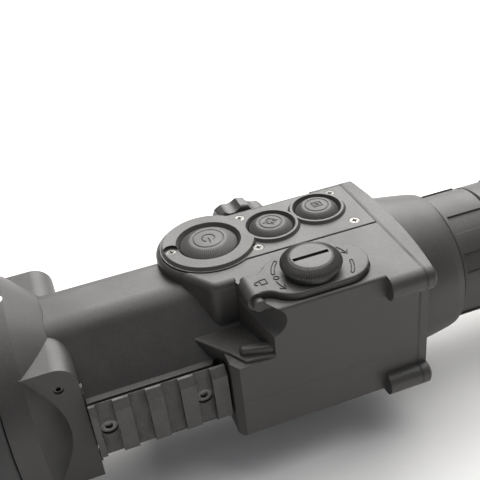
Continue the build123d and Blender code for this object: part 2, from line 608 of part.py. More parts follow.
def base_screws():
    front, rear = BASE_SCREWS_X
    return [screw_along((0, 0, 1), (front, 0, 0.6), 8.6, 1.5, 2.7, 2.6),
            screw_along((0, 0, 1), (rear, 0, 0.6), 16.0, 1.5, 2.7, 2.6)]


# Objective ---------------------------------------------------------------------

FLANGE_X = (-76.0, -60.5)


def objective_housing():
    """Square flange on the front of the neck with the round bell in front of it."""
    flange = block(FLANGE_X, (-26.5, 26.5), (AXIS_Z - 23.5, AXIS_Z + 23.5))
    flange = fillet(flange.edges().filter_by(Axis.Y).group_by(Axis.X)[-1].sort_by(Axis.Z)[-1], 6.5)
    flange += along_x(neck_section(), (-68, NECK_FRONT_X))
    profile = make_face([
        Line((-64.8, 0, AXIS_Z + 20), (-64.8, 0, AXIS_Z + 25)),
        Line((-64.8, 0, AXIS_Z + 25), (-75.2, 0, AXIS_Z + BELL_RADIUS)),
        Line((-75.2, 0, AXIS_Z + BELL_RADIUS), (-83, 0, AXIS_Z + BELL_RADIUS)),
        Line((-83, 0, AXIS_Z + BELL_RADIUS), (-83, 0, AXIS_Z + 20)),
        Line((-83, 0, AXIS_Z + 20), (-64.8, 0, AXIS_Z + 20))])
    bell = revolve(profile, Axis((0, 0, AXIS_Z), (1, 0, 0)))
    housing = flange + bell
    housing -= along_x(neck_section(), (NECK_FRONT_X, -50))
    housing -= rod_x((-90, -55), 0, AXIS_Z, 19)
    housing -= rod_x((-90, -78), 0, AXIS_Z, BARREL_RADIUS)
    housing -= [rod_x((-74, -55), y, z, 1.27) for y, z in FLANGE_SCREWS]
    housing -= [rod_x((FLANGE_X[1] - 1.0, -55), y, z, 2.1) for y, z in FLANGE_SCREWS]
    housing -= rod_y(GRUB_SCREW_X, (-30, -23.4), GRUB_SCREW_Z, 1.5)
    return housing - rod_y(GRUB_SCREW_X, (23.4, 30), GRUB_SCREW_Z, 1.5)


FLANGE_SCREWS = [(-23.9, AXIS_Z + 11.6), (23.9, AXIS_Z + 11.6), (-21.0, AXIS_Z - 20.2), (21.0, AXIS_Z - 20.2)]
GRUB_SCREW_X, GRUB_SCREW_Z = -66.4, AXIS_Z + 16.0


def flange_screws():
    return [screw_along((-1, 0, 0), (FLANGE_X[1] + 0.6, y, z), 12, 1.25, 2.0, 1.6) for y, z in FLANGE_SCREWS]


def grub_screws():
    """Two headless screws in the sides of the flange, below its surface."""
    screws = []
    for side in (-1, 1):
        inner, outer = sorted((side * 23.4, side * 25.9))
        socket = sorted((side * 24.9, side * 27))
        screws.append(rod_y(GRUB_SCREW_X, (inner, outer), GRUB_SCREW_Z, 1.5)
                      - rod_y(GRUB_SCREW_X, socket, GRUB_SCREW_Z, 0.8))
    return screws


def objective_barrel():
    """Fixed tube that the focus ring turns on and the lens cell slides in."""
    return turned((-78, 21), (-78, BARREL_RADIUS), (-128, BARREL_RADIUS), (-128, CELL_BORE), (-81, CELL_BORE),
                  (-81, 21))


def focus_ring():
    """Ribbed ring that focuses the objective."""
    ring = sleeve((-111.5, -83.5), 35.4, BARREL_RADIUS + 0.08)
    ring = chamfer(ring.edges().filter_by(GeomType.CIRCLE).filter_by(lambda edge: edge.radius > 35), 0.8)
    for step in range(24):
        groove = Pos(-99.5, 0, AXIS_Z) * Rot(15 * step, 0, 0) * Pos(0, 0, 36.4) * Box(19, 2.6, 3.4)
        ring -= groove
    return ring


def front_bezel():
    """Front ring of the objective with the ears of the cap's hinge."""
    bezel = turned((OBJECTIVE_FRONT_X, 29.4), (OBJECTIVE_FRONT_X, 34.2), (OBJECTIVE_FRONT_X + 0.8, 35),
                   (-112, 35), (-112, BARREL_RADIUS), (-128, BARREL_RADIUS), (-128, 28.0), (-129.5, 28.0),
                   (-131, 29.4))
    for y in ((-9.2, -5.2), (5.2, 9.2)):
        ear = rod_y(CAP_HINGE_X, y, CAP_HINGE_Z, 3.2)
        foot = block((CAP_HINGE_X - 3, CAP_HINGE_X + 9), y, (AXIS_Z + 32, CAP_HINGE_Z))
        bezel += ear + foot
    bezel -= rod_x((-140, -100), 0, AXIS_Z, 28.0)
    bezel -= rod_x((-128, -100), 0, AXIS_Z, BARREL_RADIUS)
    return bezel - rod_y(CAP_HINGE_X, (-12, 12), CAP_HINGE_Z, 1.3)


def cap_hinge_pin():
    return rod_y(CAP_HINGE_X, (-9.0, 9.0), CAP_HINGE_Z, 1.25)


def lens_cap():
    """Hinged cover of the objective, with a shallow plug and a thumb tab."""
    front, back = OBJECTIVE_FRONT_X - 4.2, OBJECTIVE_FRONT_X - 0.3
    cap = turned((front, 0), (front, 33.6), (front + 1.6, 35.2), (back, 35.2), (back, 28.9), (back + 2.4, 28.4),
                 (back + 2.4, 26.4), (back, 26.4), (back, 0))
    tab = block((front + 0.8, back), (-7, 7), (AXIS_Z - 38.6, AXIS_Z - 33))
    cap += fillet(tab.edges().filter_by(Axis.X).group_by(Axis.Z)[0], 2.5)
    arm = block((front + 0.8, CAP_HINGE_X), (-4.9, 4.9), (AXIS_Z + 33, CAP_HINGE_Z + 2.4))
    arm -= block((back, CAP_HINGE_X + 9), (-6, 6), (AXIS_Z + 30, AXIS_Z + 35.3))
    arm = fillet(arm.edges().filter_by(Axis.Y).group_by(Axis.X)[0].sort_by(Axis.Z)[-1], 2.5)
    cap += arm + rod_y(CAP_HINGE_X, (-4.9, 4.9), CAP_HINGE_Z, 3.2)
    cap -= rod_y(CAP_HINGE_X, (-12, 12), CAP_HINGE_Z, 1.32)
    return cap


def lens_cell():
    """Inner tube that carries the objective lenses and slides to focus."""
    return turned((-86, 22), (-86, CELL_BORE - 0.06), (-124, CELL_BORE - 0.06), (-124, 26.0), (-90, 26.0),
                  (-90, 22))


def disc_lens(x, radius, thickness, front_rise, rear_rise):
    """Lens centred on x, with both faces domed outwards."""
    front, rear = x - thickness / 2, x + thickness / 2
    half = radius / 2
    front_face = Spline([(front - front_rise, 0), (front - 0.75 * front_rise, half), (front, radius)])
    rear_face = Spline([(rear, radius), (rear + 0.75 * rear_rise, half), (rear + rear_rise, 0)])
    outline = [front_face, Line((front, radius), (rear, radius)), rear_face,
               Line((rear + rear_rise, 0), (front - front_rise, 0))]
    return Pos(0, 0, AXIS_Z) * revolve(Plane.XZ * make_face(outline), Axis.X)


def objective_front_lens():
    return disc_lens(-116, 26.0, 5, 3.2, 1.0)


def objective_rear_lens():
    return disc_lens(-97, 26.0, 4, 1.2, 1.2)


def lens_spacer():
    """Tube between the two objective lenses."""
    return sleeve((-113.3, -99.2), 26.0, 24.2)


def lens_retainer():
    """Threaded ring in front of the objective lens, with two wrench notches."""
    ring = sleeve((-123.5, -119.0), 26.0, 24.4)
    return ring - block((-125, -122.3), (-1.2, 1.2), (0, 60))


# Eyepiece ----------------------------------------------------------------------

def eyepiece_tube():
    """Fixed tube from the rear cover back through the dioptre ring."""
    return turned((45.2, TUBE_BORE), (45.2, TUBE_RADIUS + 0.5), (70.2, TUBE_RADIUS + 0.5), (70.2, TUBE_RADIUS),
                  (92, TUBE_RADIUS), (92, TUBE_BORE))


def diopter_ring():
    """Dioptre ring with wide flats and paired lengthwise recesses."""
    x = (70.5, 87.4)
    ring = sleeve(x, DIOPTER_RADIUS, TUBE_RADIUS + 0.08)
    ring = chamfer(ring.edges().filter_by(GeomType.CIRCLE).filter_by(lambda edge: edge.radius > 22), 0.5)
    recess = sleeve((x[0] + 1.6, x[1] + 1), DIOPTER_RADIUS + 1, DIOPTER_RADIUS - 0.7)
    wedge_half = math.radians(9)
    reach = 40
    for quarter in range(4):
        for offset in (-18, 18):
            middle = math.radians(45 + 90 * quarter + offset)
            corners = [(0, AXIS_Z)]
            for side in (-wedge_half, wedge_half):
                corners.append((reach * math.cos(middle + side), AXIS_Z + reach * math.sin(middle + side)))
            ring -= recess & along_x(polygon(corners), (x[0], x[1] + 2))
    return ring


def eyepiece_barrel():
    """Rear barrel screwed onto the tube behind the dioptre ring."""
    return turned((88.0, TUBE_RADIUS), (88.0, 21.6), (88.6, 22.2), (100.5, 22.2), (101.5, 20.6), (109, 20.6),
                  (109, TUBE_BORE), (92, TUBE_BORE), (92, TUBE_RADIUS))


def eyepiece_cell():
    """Lens tube that the dioptre ring moves along the axis."""
    return turned((64, 15.0), (64, TUBE_BORE - 0.06), (104, TUBE_BORE - 0.06), (104, 15.8), (68, 15.8), (68, 15.0))


def eyepiece_front_lens():
    return disc_lens(71, 15.8, 5, 1.4, 1.4)


def eyepiece_rear_lens():
    return disc_lens(97, 15.8, 5, 1.0, 1.6)


def eyepiece_spacer():
    return sleeve((73.8, 94.3), 15.8, 14.4)


def eyepiece_retainer():
    ring = sleeve((99.9, 103.5), 15.8, 14.2)
    return ring - block((102.5, 105), (-1, 1), (0, 60))


def eyecup():
    """Rubber cup with two bellows folds and a flared rim."""
    outer = [(101.7, 23.2), (108, 23.2), (111, 21.6), (115, 21.6), (118, 23.6), (122, 23.6), (125, 22.0),
             (129, 22.2), (137, 24.6), (145, 26.8), (EYECUP_END_X, 26.2)]
    inner = [(EYECUP_END_X, 25.2), (137, 22.6), (129, 20.2), (125, 20.0), (122, 21.6), (118, 21.6), (115, 19.6),
             (109.2, 19.6), (109.2, 20.6), (101.7, 20.6)]
    return turned(*outer, *inner)


NODES = {
    "main_housing": main_housing,
    "bottom_cover": bottom_cover,
    "bottom_cover_screws": belly_screws,
    "rear_gasket": rear_gasket,
    "rear_cover": rear_cover,
    "rear_cover_screws": cover_screws,
    "control_plate": control_plate,
    "control_plate_screws": plate_screws,
    "power_button": lambda: button(*POWER_BUTTON),
    "calibrate_button": lambda: button(*CALIBRATE_BUTTON),
    "menu_button": lambda: button(*MENU_BUTTON),
    "keypad_membrane": keypad,
    "control_wheel": control_wheel,
    "wheel_encoder": wheel_encoder,
    "battery_lid": battery_lid,
    "lid_seal": lid_seal,
    "lid_hinge_pin": lid_hinge_pin,
    "lid_knob": lid_knob,
    "lid_latch": lid_latch,
    "battery_holder": battery_holder,
    "battery_cells": battery_cells,
    "battery_contacts": battery_contacts,
    "main_board": main_board,
    "main_board_screws": board_screws,
    "sensor_carrier": sensor_carrier,
    "sensor_board": sensor_board,
    "image_sensor": image_sensor,
    "display_carrier": display_carrier,
    "display_panel": display_panel,
    "data_socket": data_socket,
    "socket_cover": socket_cover,
    "accessory_rail": accessory_rail,
    "accessory_rail_screws": rail_screws,
    "mounting_base": mounting_base,
    "mounting_base_screws": base_screws,
    "objective_housing": objective_housing,
    "objective_flange_screws": flange_screws,
    "flange_grub_screws": grub_screws,
    "objective_barrel": objective_barrel,
    "focus_ring": focus_ring,
    "front_bezel": front_bezel,
    "lens_cap": lens_cap,
    "cap_hinge_pin": cap_hinge_pin,
    "objective_lens_cell": lens_cell,
    "objective_front_lens": objective_front_lens,
    "objective_rear_lens": objective_rear_lens,
    "objective_lens_spacer": lens_spacer,
    "objective_lens_retainer": lens_retainer,
    "eyepiece_tube": eyepiece_tube,
    "diopter_ring": diopter_ring,
    "eyepiece_barrel": eyepiece_barrel,
    "eyepiece_lens_cell": eyepiece_cell,
    "eyepiece_front_lens": eyepiece_front_lens,
    "eyepiece_rear_lens": eyepiece_rear_lens,
    "eyepiece_lens_spacer": eyepiece_spacer,
    "eyepiece_lens_retainer": eyepiece_retainer,
    "eyecup": eyecup,
}


def main():
    os.makedirs("parts", exist_ok=True)
    for name, make in NODES.items():
        made = make()
        pieces = made if isinstance(made, list) else [made]
        solids = [solid for piece in pieces for solid in piece.solids()]
        shape = solids[0] if len(solids) == 1 else Compound(children=solids)
        export_step(shape, f"parts/{name}.step")


main()
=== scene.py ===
"""Looks of the electronic riflescope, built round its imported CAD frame.

Drawing helpers take millimetres in the frame's axes: +X to the eye, +Y to the right, +Z up.
"""
import bpy
import bmesh
import math
from mathutils import Vector, Matrix


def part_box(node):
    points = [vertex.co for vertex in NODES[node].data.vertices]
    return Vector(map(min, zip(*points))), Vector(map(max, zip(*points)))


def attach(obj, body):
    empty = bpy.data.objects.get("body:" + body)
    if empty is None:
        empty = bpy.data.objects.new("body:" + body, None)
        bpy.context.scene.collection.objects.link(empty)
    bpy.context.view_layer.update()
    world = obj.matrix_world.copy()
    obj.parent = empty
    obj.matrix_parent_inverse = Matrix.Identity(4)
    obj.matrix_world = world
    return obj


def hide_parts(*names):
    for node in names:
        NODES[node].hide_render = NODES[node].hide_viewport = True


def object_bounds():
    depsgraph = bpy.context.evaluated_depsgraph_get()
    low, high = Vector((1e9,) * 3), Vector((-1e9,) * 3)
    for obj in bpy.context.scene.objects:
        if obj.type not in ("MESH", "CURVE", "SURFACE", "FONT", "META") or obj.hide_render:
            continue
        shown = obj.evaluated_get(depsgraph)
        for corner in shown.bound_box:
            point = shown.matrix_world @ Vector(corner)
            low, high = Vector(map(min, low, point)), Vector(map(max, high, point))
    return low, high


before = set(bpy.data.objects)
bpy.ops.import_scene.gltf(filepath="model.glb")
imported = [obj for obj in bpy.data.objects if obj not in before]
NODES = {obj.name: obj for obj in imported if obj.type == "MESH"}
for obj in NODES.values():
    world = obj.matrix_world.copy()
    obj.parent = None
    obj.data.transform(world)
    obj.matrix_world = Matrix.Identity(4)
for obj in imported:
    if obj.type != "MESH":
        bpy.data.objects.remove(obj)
cad_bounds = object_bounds()

MM = 0.001


def centre(node):
    """Middle of a CAD node's box, in millimetres."""
    low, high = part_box(node)
    return [(a + b) / 2 / MM for a, b in zip(low, high)]


def top(node):
    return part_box(node)[1][2] / MM


# Places, read from the frame or set from its optical axis -------------------------

AXIS_Z = centre("eyepiece_tube")[2]
LID_Z = AXIS_Z + 32.0
BELL_RADIUS = 35.0
KNOB_X, KNOB_Y = centre("lid_knob")[:2]
KNOB_TOP = top("lid_knob")
FLOOR_Z = cad_bounds[0][2]

# Camera --------------------------------------------------------------------------

CAMERA_TARGET = (0, 0, 61)
CAMERA_DISTANCE = 250.05
CAMERA_AZIMUTH, CAMERA_ELEVATION, CAMERA_ROLL = -15.72, 33.93, -6.79
CAMERA_LENS, SENSOR = 58.16, 36.0


def add_camera():
    """Looks at the target from the left front, a little tilted."""
    data = bpy.data.cameras.new("camera")
    data.lens, data.sensor_width = CAMERA_LENS, SENSOR
    data.clip_start, data.clip_end = 0.005, 20
    camera = bpy.data.objects.new("camera", data)
    azimuth, elevation = math.radians(CAMERA_AZIMUTH), math.radians(CAMERA_ELEVATION)
    back = Vector((math.sin(azimuth) * math.cos(elevation), -math.cos(azimuth) * math.cos(elevation),
                   math.sin(elevation)))
    turn = back.to_track_quat("Z", "Y").to_matrix() @ Matrix.Rotation(math.radians(CAMERA_ROLL), 3, "Z")
    place = Matrix.Translation((Vector(CAMERA_TARGET) + back * CAMERA_DISTANCE) * MM)
    camera.matrix_world = place @ turn.to_4x4()
    bpy.context.scene.collection.objects.link(camera)
    bpy.context.scene.camera = camera


# Materials -----------------------------------------------------------------------

class Shader:
    """One material's node tree, with short calls for the nodes used here."""

    def __init__(self, name):
        self.material = bpy.data.materials.new(name)
        self.material.use_nodes = True
        self.tree = self.material.node_tree
        self.principled = self.tree.nodes["Principled BSDF"]
        self.place = self.add("ShaderNodeTexCoord").outputs["Object"]

    def add(self, kind, **settings):
        node = self.tree.nodes.new(kind)
        for key, value in settings.items():
            setattr(node, key, value)
        return node

    def link(self, source, target):
        self.tree.links.new(source, target)

    def socket(self, name, value):
        self.principled.inputs[name].default_value = value

    def noise(self, size_mm, detail=3.0, roughness=0.55):
        """Noise whose features are about size_mm across."""
        node = self.add("ShaderNodeTexNoise")
        self.link(self.place, node.inputs["Vector"])
        node.inputs["Scale"].default_value = 1 / (size_mm * MM)
        node.inputs["Detail"].default_value = detail
        node.inputs["Roughness"].default_value = roughness
        return node.outputs["Fac"]

    def spread(self, value, low, high, start=0.3, end=0.7):
        """Value from start to end mapped on to low to high."""
        node = self.add("ShaderNodeMapRange")
        self.link(value, node.inputs["Value"])
        for key, number in (("From Min", start), ("From Max", end), ("To Min", low), ("To Max", high)):
            node.inputs[key].default_value = number
        return node.outputs["Result"]

    def mix(self, factor, first, second):
        node = self.add("ShaderNodeMix", data_type="RGBA", blend_type="MIX")
        self.put(node.inputs[0], factor)
        self.put(node.inputs[6], first)
        self.put(node.inputs[7], second)
        return node.outputs[2]

    def math(self, operation, first, second):
        node = self.add("ShaderNodeMath", operation=operation)
        self.put(node.inputs[0], first)
        self.put(node.inputs[1], second)
        return node.outputs[0]

    def put(self, target, value):
        if isinstance(value, bpy.types.NodeSocket):
            self.link(value, target)
        elif isinstance(value, tuple):
            target.default_value = (*value, 1.0)
        else:
            target.default_value = value

    def upward(self):
        """1 where the surface faces up, 0 where it is upright or faces down."""
        geometry = self.add("ShaderNodeNewGeometry")
        split = self.add("ShaderNodeSeparateXYZ")
        self.link(geometry.outputs["Normal"], split.inputs[0])
        return self.spread(split.outputs["Z"], 0.0, 1.0, 0.2, 0.95)

    def bump(self, height, distance_mm, strength=1.0, edge_mm=0.0):
        node = self.add("ShaderNodeBump")
        self.link(height, node.inputs["Height"])
        node.inputs["Distance"].default_value = distance_mm * MM
        node.inputs["Strength"].default_value = strength
        if edge_mm:
            bevel = self.add("ShaderNodeBevel", samples=4)
            bevel.inputs["Radius"].default_value = edge_mm * MM
            self.link(bevel.outputs["Normal"], node.inputs["Normal"])
        self.link(node.outputs["Normal"], self.principled.inputs["Normal"])

    def paint_groove_shade(self, colour, dark):
        """Painted shade: darkens the colour where a mesh says that it is cut in, standing in for the shade inside
        engraved lines.
        """
        attribute = self.add("ShaderNodeAttribute", attribute_name="groove_shade")
        return self.mix(attribute.outputs["Fac"], colour, dark)


def moulded_plastic(name, colour, roughness=0.45, grain_mm=0.28, depth_mm=0.035, dust=0.35, edge_mm=0.25):
    """Textured plastic: fine spark-eroded grain, cloudy tone, a little dust on top, painted shade in engraved lines,
    rubbed edges.
    """
    s = Shader(name)
    cloud = s.noise(14, 4)
    fine = s.noise(grain_mm, 2, 0.6)
    speck = s.noise(1.1, 5, 0.7)
    dark = tuple(c * 0.86 for c in colour)
    light = tuple(c * 1.16 for c in colour)
    tone = s.mix(s.spread(cloud, 0, 1, 0.35, 0.65), dark, light)
    tone = s.mix(s.spread(fine, 0, 0.3), tone, tuple(c * 1.7 for c in colour))
    dusty = s.math("MULTIPLY", s.spread(speck, 0.0, dust, 0.42, 0.75), s.upward())
    tone = s.mix(dusty, tone, tuple(min(1, c * 2.2 + 0.01) for c in colour))
    # painted shade: engraved lines darkened in the colour
    tone = s.paint_groove_shade(tone, tuple(c * 0.25 for c in colour))
    s.link(tone, s.principled.inputs["Base Color"])
    s.link(s.spread(cloud, roughness - 0.05, roughness + 0.06), s.principled.inputs["Roughness"])
    s.socket("Specular IOR Level", 0.5)
    s.bump(fine, depth_mm, 1.0, edge_mm)
    return s.material


def soft_rubber(name, colour, roughness=0.7, sheen=0.15, grain_mm=0.35):
    """Matt rubber with a dusty bloom and painted shade in engraved lines."""
    s = Shader(name)
    cloud = s.noise(9, 4)
    fine = s.noise(grain_mm, 3, 0.6)
    tone = s.mix(s.spread(cloud, 0, 1, 0.35, 0.65), tuple(c * 0.8 for c in colour), tuple(c * 1.2 for c in colour))
    dusty = s.math("MULTIPLY", s.spread(fine, 0.0, 0.35, 0.5, 0.75), s.upward())
    tone = s.mix(dusty, tone, tuple(c * 2.4 + 0.008 for c in colour))
    # painted shade: engraved lines darkened in the colour
    tone = s.paint_groove_shade(tone, tuple(c * 0.3 for c in colour))
    s.link(tone, s.principled.inputs["Base Color"])
    s.link(s.spread(cloud, roughness - 0.07, roughness + 0.08), s.principled.inputs["Roughness"])
    s.socket("Sheen Weight", sheen)
    s.socket("Sheen Roughness", 0.6)
    s.bump(fine, 0.03, 1.0, 0.2)
    return s.material


def metal(name, colour, roughness=0.3, brushed_mm=0.15, metallic=1.0):
    """Turned or brushed metal, its streaks running across the optical axis."""
    s = Shader(name)
    stretch = s.add("ShaderNodeMapping")
    s.link(s.place, stretch.inputs["Vector"])
    stretch.inputs["Scale"].default_value = (1.0, 0.12, 0.12)
    streaks = s.add("ShaderNodeTexNoise")
    s.link(stretch.outputs["Vector"], streaks.inputs["Vector"])
    streaks.inputs["Scale"].default_value = 1 / (brushed_mm * MM)
    streaks.inputs["Detail"].default_value = 4
    smudge = s.noise(5, 3)
    tone = s.mix(s.spread(streaks.outputs["Fac"], 0, 1), tuple(c * 0.8 for c in colour),
                 tuple(min(1, c * 1.15) for c in colour))
    s.link(tone, s.principled.inputs["Base Color"])
    s.link(s.spread(smudge, roughness * 0.75, roughness * 1.35), s.principled.inputs["Roughness"])
    s.socket("Metallic", metallic)
    s.bump(streaks.outputs["Fac"], 0.01, 1.0, 0.1)
    return s.material


def coated_glass(name, tint, coat):
    """Lens glass with a coloured reflex from its coating."""
    s = Shader(name)
    s.socket("Transmission Weight", 1.0)
    s.socket("Roughness", 0.02)
    s.socket("IOR", 1.52)
    s.socket("Coat Weight", 0.6)
    s.socket("Coat Roughness", 0.03)
    s.socket("Coat Tint", (*coat, 1.0))
    haze = s.noise(6, 2)
    s.link(s.mix(s.spread(haze, 0, 1), tint, tuple(c * 0.94 for c in tint)), s.principled.inputs["Base Color"])
    return s.material


def circuit(name, colour):
    """Solder mask with pale track lines and pads."""
    s = Shader(name)
    cells = s.add("ShaderNodeTexVoronoi", feature="DISTANCE_TO_EDGE", distance="CHEBYCHEV")
    s.link(s.place, cells.inputs["Vector"])
    cells.inputs["Scale"].default_value = 1 / (2.2 * MM)
    tracks = s.spread(cells.outputs["Distance"], 1.0, 0.0, 0.03, 0.09)
    tone = s.mix(tracks, colour, tuple(min(1, c * 1.9 + 0.02) for c in colour))
    s.link(tone, s.principled.inputs["Base Color"])
    s.socket("Roughness", 0.3)
    s.bump(tracks, 0.03)
    return s.material


CHARCOAL = (0.034, 0.0316, 0.0298)
MATERIALS = {
    "housing": moulded_plastic("charcoal_housing", CHARCOAL),
    "plate": moulded_plastic("control_plate_plastic", tuple(c * 1.12 for c in CHARCOAL), dust=0.3, edge_mm=0.15),
    "button": soft_rubber("button_rubber", (0.034, 0.0315, 0.03), 0.48, 0.1),
    "knob": moulded_plastic("knob_plastic", (0.036, 0.034, 0.032), 0.42, 0.25, 0.02, 0.3, 0.1),
    "rubber": soft_rubber("grip_rubber", (0.022, 0.0212, 0.0205), 0.6),
    "seal": soft_rubber("seal_rubber", (0.012, 0.012, 0.012), 0.55, 0.05),
    "steel": metal("plated_steel", (0.2, 0.195, 0.185), 0.5),
    "black_steel": metal("blackened_steel", (0.10, 0.095, 0.09), 0.42, 0.12),
    "rail": metal("anodised_rail", (0.08, 0.077, 0.074), 0.45, 0.2, 0.5),
    "anodised": metal("black_anodised", (0.045, 0.045, 0.047), 0.45, 0.2, 0.7),
    "brass": metal("contact_brass", (0.78, 0.60, 0.28), 0.25),
    "cells": moulded_plastic("battery_wrap", (0.05, 0.16, 0.10), 0.3, 0.8, 0.004, 0.1, 0.3),
    "inner": moulded_plastic("inner_plastic", (0.045, 0.045, 0.045), 0.5),
    "board": circuit("circuit_board", (0.015, 0.11, 0.05)),
    "sensor": moulded_plastic("sensor_window", (0.02, 0.02, 0.04), 0.08, 3.0, 0.001, 0.0, 0.05),
    "objective_glass": coated_glass("objective_glass", (0.93, 0.96, 0.98), (0.55, 0.75, 0.95)),
    "eyepiece_glass": coated_glass("eyepiece_glass", (0.96, 0.97, 0.95), (0.75, 0.9, 0.65)),
    # near-black colour of the raised lid marks is painted shade, standing in for the shade along their sides
    "mark_painted_shade": moulded_plastic("mark_painted_shade_plastic", (0.008, 0.008, 0.008), 0.6, 0.4, 0.01, 0.0, 0.05),
    "mark": moulded_plastic("index_white", (0.75, 0.75, 0.73), 0.5, 0.4, 0.01, 0.1, 0.05),
}

LOOKS = {
    "housing": ["main_housing", "bottom_cover", "rear_cover", "objective_housing", "front_bezel",
                "eyepiece_barrel", "diopter_ring", "battery_lid"],
    "plate": ["control_plate"],
    "button": ["power_button", "calibrate_button", "menu_button", "keypad_membrane"],
    "knob": ["lid_knob", "control_wheel"],
    "rubber": ["focus_ring", "eyecup", "socket_cover", "lens_cap"],
    "seal": ["rear_gasket", "lid_seal"],
    "steel": ["accessory_rail_screws", "bottom_cover_screws", "rear_cover_screws", "control_plate_screws",
              "main_board_screws", "mounting_base_screws", "lid_hinge_pin", "cap_hinge_pin", "lid_latch",
              "data_socket"],
    "black_steel": ["objective_flange_screws", "flange_grub_screws"],
    "rail": ["accessory_rail", "mounting_base"],
    "anodised": ["objective_barrel", "objective_lens_cell", "objective_lens_spacer", "objective_lens_retainer",
                 "eyepiece_tube", "eyepiece_lens_cell", "eyepiece_lens_spacer", "eyepiece_lens_retainer",
                 "sensor_carrier"],
    "brass": ["battery_contacts"],
    "cells": ["battery_cells"],
    "inner": ["battery_holder", "display_carrier", "wheel_encoder"],
    "board": ["main_board", "sensor_board"],
    "sensor": ["image_sensor", "display_panel"],
    "objective_glass": ["objective_front_lens", "objective_rear_lens"],
    "eyepiece_glass": ["eyepiece_front_lens", "eyepiece_rear_lens"],
}


def dress_frame():
    """Gives every CAD node its material."""
    for look, names in LOOKS.items():
        for name in names:
            materials = NODES[name].data.materials
            materials.clear()
            materials.append(MATERIALS[look])


# Mesh helpers --------------------------------------------------------------------

def piece(name, points, faces, look, body, smooth_degrees=40, groove_shade=None):
    """Mesh piece from points in millimetres, which rides on a body."""
    mesh = bpy.data.meshes.new(name)
    mesh.from_pydata([Vector(p) * MM for p in points], [], faces)
    mesh.update()
    # per-point weights of painted shade for engraved lines
    if groove_shade is not None:
        attribute = mesh.attributes.new("groove_shade", "FLOAT", "POINT")
        attribute.data.foreach_set("value", groove_shade)
    mesh.materials.append(MATERIALS[look])
    mesh.polygons.foreach_set("use_smooth", [True] * len(mesh.polygons))
    mesh.set_sharp_from_angle(angle=math.radians(smooth_degrees))
    obj = bpy.data.objects.new(name, mesh)
    bpy.context.scene.collection.objects.link(obj)
    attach(obj, body)
    return obj


def smoothstep(value):
    value = min(1.0, max(0.0, value))
    return value * value * (3 - 2 * value)


def turned_grid(place, profile, around):
    """Points and faces of a closed solid turned about Z: profile(angle) lists (radius, z) from top to bottom."""
    points, faces = [], []
    for step in range(around):
        angle = 2 * math.pi * step / around
        for radius, z in profile(angle):
            points.append((place[0] + radius * math.cos(angle), place[1] + radius * math.sin(angle), place[2] + z))
    rows = len(points) // around
    for step in range(around):
        here, there = step * rows, (step + 1) % around * rows
        for row in range(rows - 1):
            faces.append((here + row, here + row + 1, there + row + 1, there + row))
    ends = profile(0)
    for row, order in ((0, 1), (rows - 1, -1)):
        points.append((place[0], place[1], place[2] + ends[row][1]))
        hub = len(points) - 1
        for step in range(around):
            here, there = step * rows + row, (step + 1) % around * rows + row
            faces.append((hub, here, there)[::order])
    return points, faces


def stroke_distance(x, y, stroke):
    """Distance from a point to a straight ("line") or round ("arc") pen stroke."""
    if stroke[0] == "line":
        start, end = Vector(stroke[1]), Vector(stroke[2])
        along = end - start
        share = max(0.0, min(1.0, (Vector((x, y)) - start).dot(along) / along.length_squared))
        return (Vector((x, y)) - start - along * share).length
    (cx, cy), radius, first, last = stroke[1:]
    angle = math.degrees(math.atan2(y - cy, x - cx))
    span = (angle - first) % 360
    if span <= last - first:
        return abs(math.hypot(x - cx, y - cy) - radius)
    ends = [(cx + radius * math.cos(math.radians(a)), cy + radius * math.sin(math.radians(a))) for a in (first, last)]
    return min(math.hypot(x - ex, y - ey) for ex, ey in ends)


def ring(radius, at=(0, 0)):
    return ("arc", at, radius, 0, 360)


# Buttons -------------------------------------------------------------------------

PEN = 0.34                        # width of an engraved line
PEN_DEPTH = 0.22

# Drawn with up towards the left side of the scope, as the shooter's right hand sees them
POWER_SIGN = [("arc", (0, 0), 2.1, -50, 230), ("line", (0, -0.3), (0, -2.6))]
CROSS_SIGN = [ring(1.5), ("line", (-2.4, 0), (-0.7, 0)), ("line", (0.7, 0), (2.4, 0)),
              ("line", (0, -2.2), (0, -0.7)), ("line", (0, 0.7), (0, 2.2))]
MENU_SIGN = [("line", (-1.5, -1.3), (1.5, -1.3)), ("line", (1.5, -1.3), (1.5, 1.3)),
             ("line", (1.5, 1.3), (-1.5, 1.3)), ("line", (-1.5, 1.3), (-1.5, -1.3)),
             ("line", (-0.6, -0.4), (0.6, -0.4)), ("line", (-0.6, 0.4), (0.6, 0.4))]


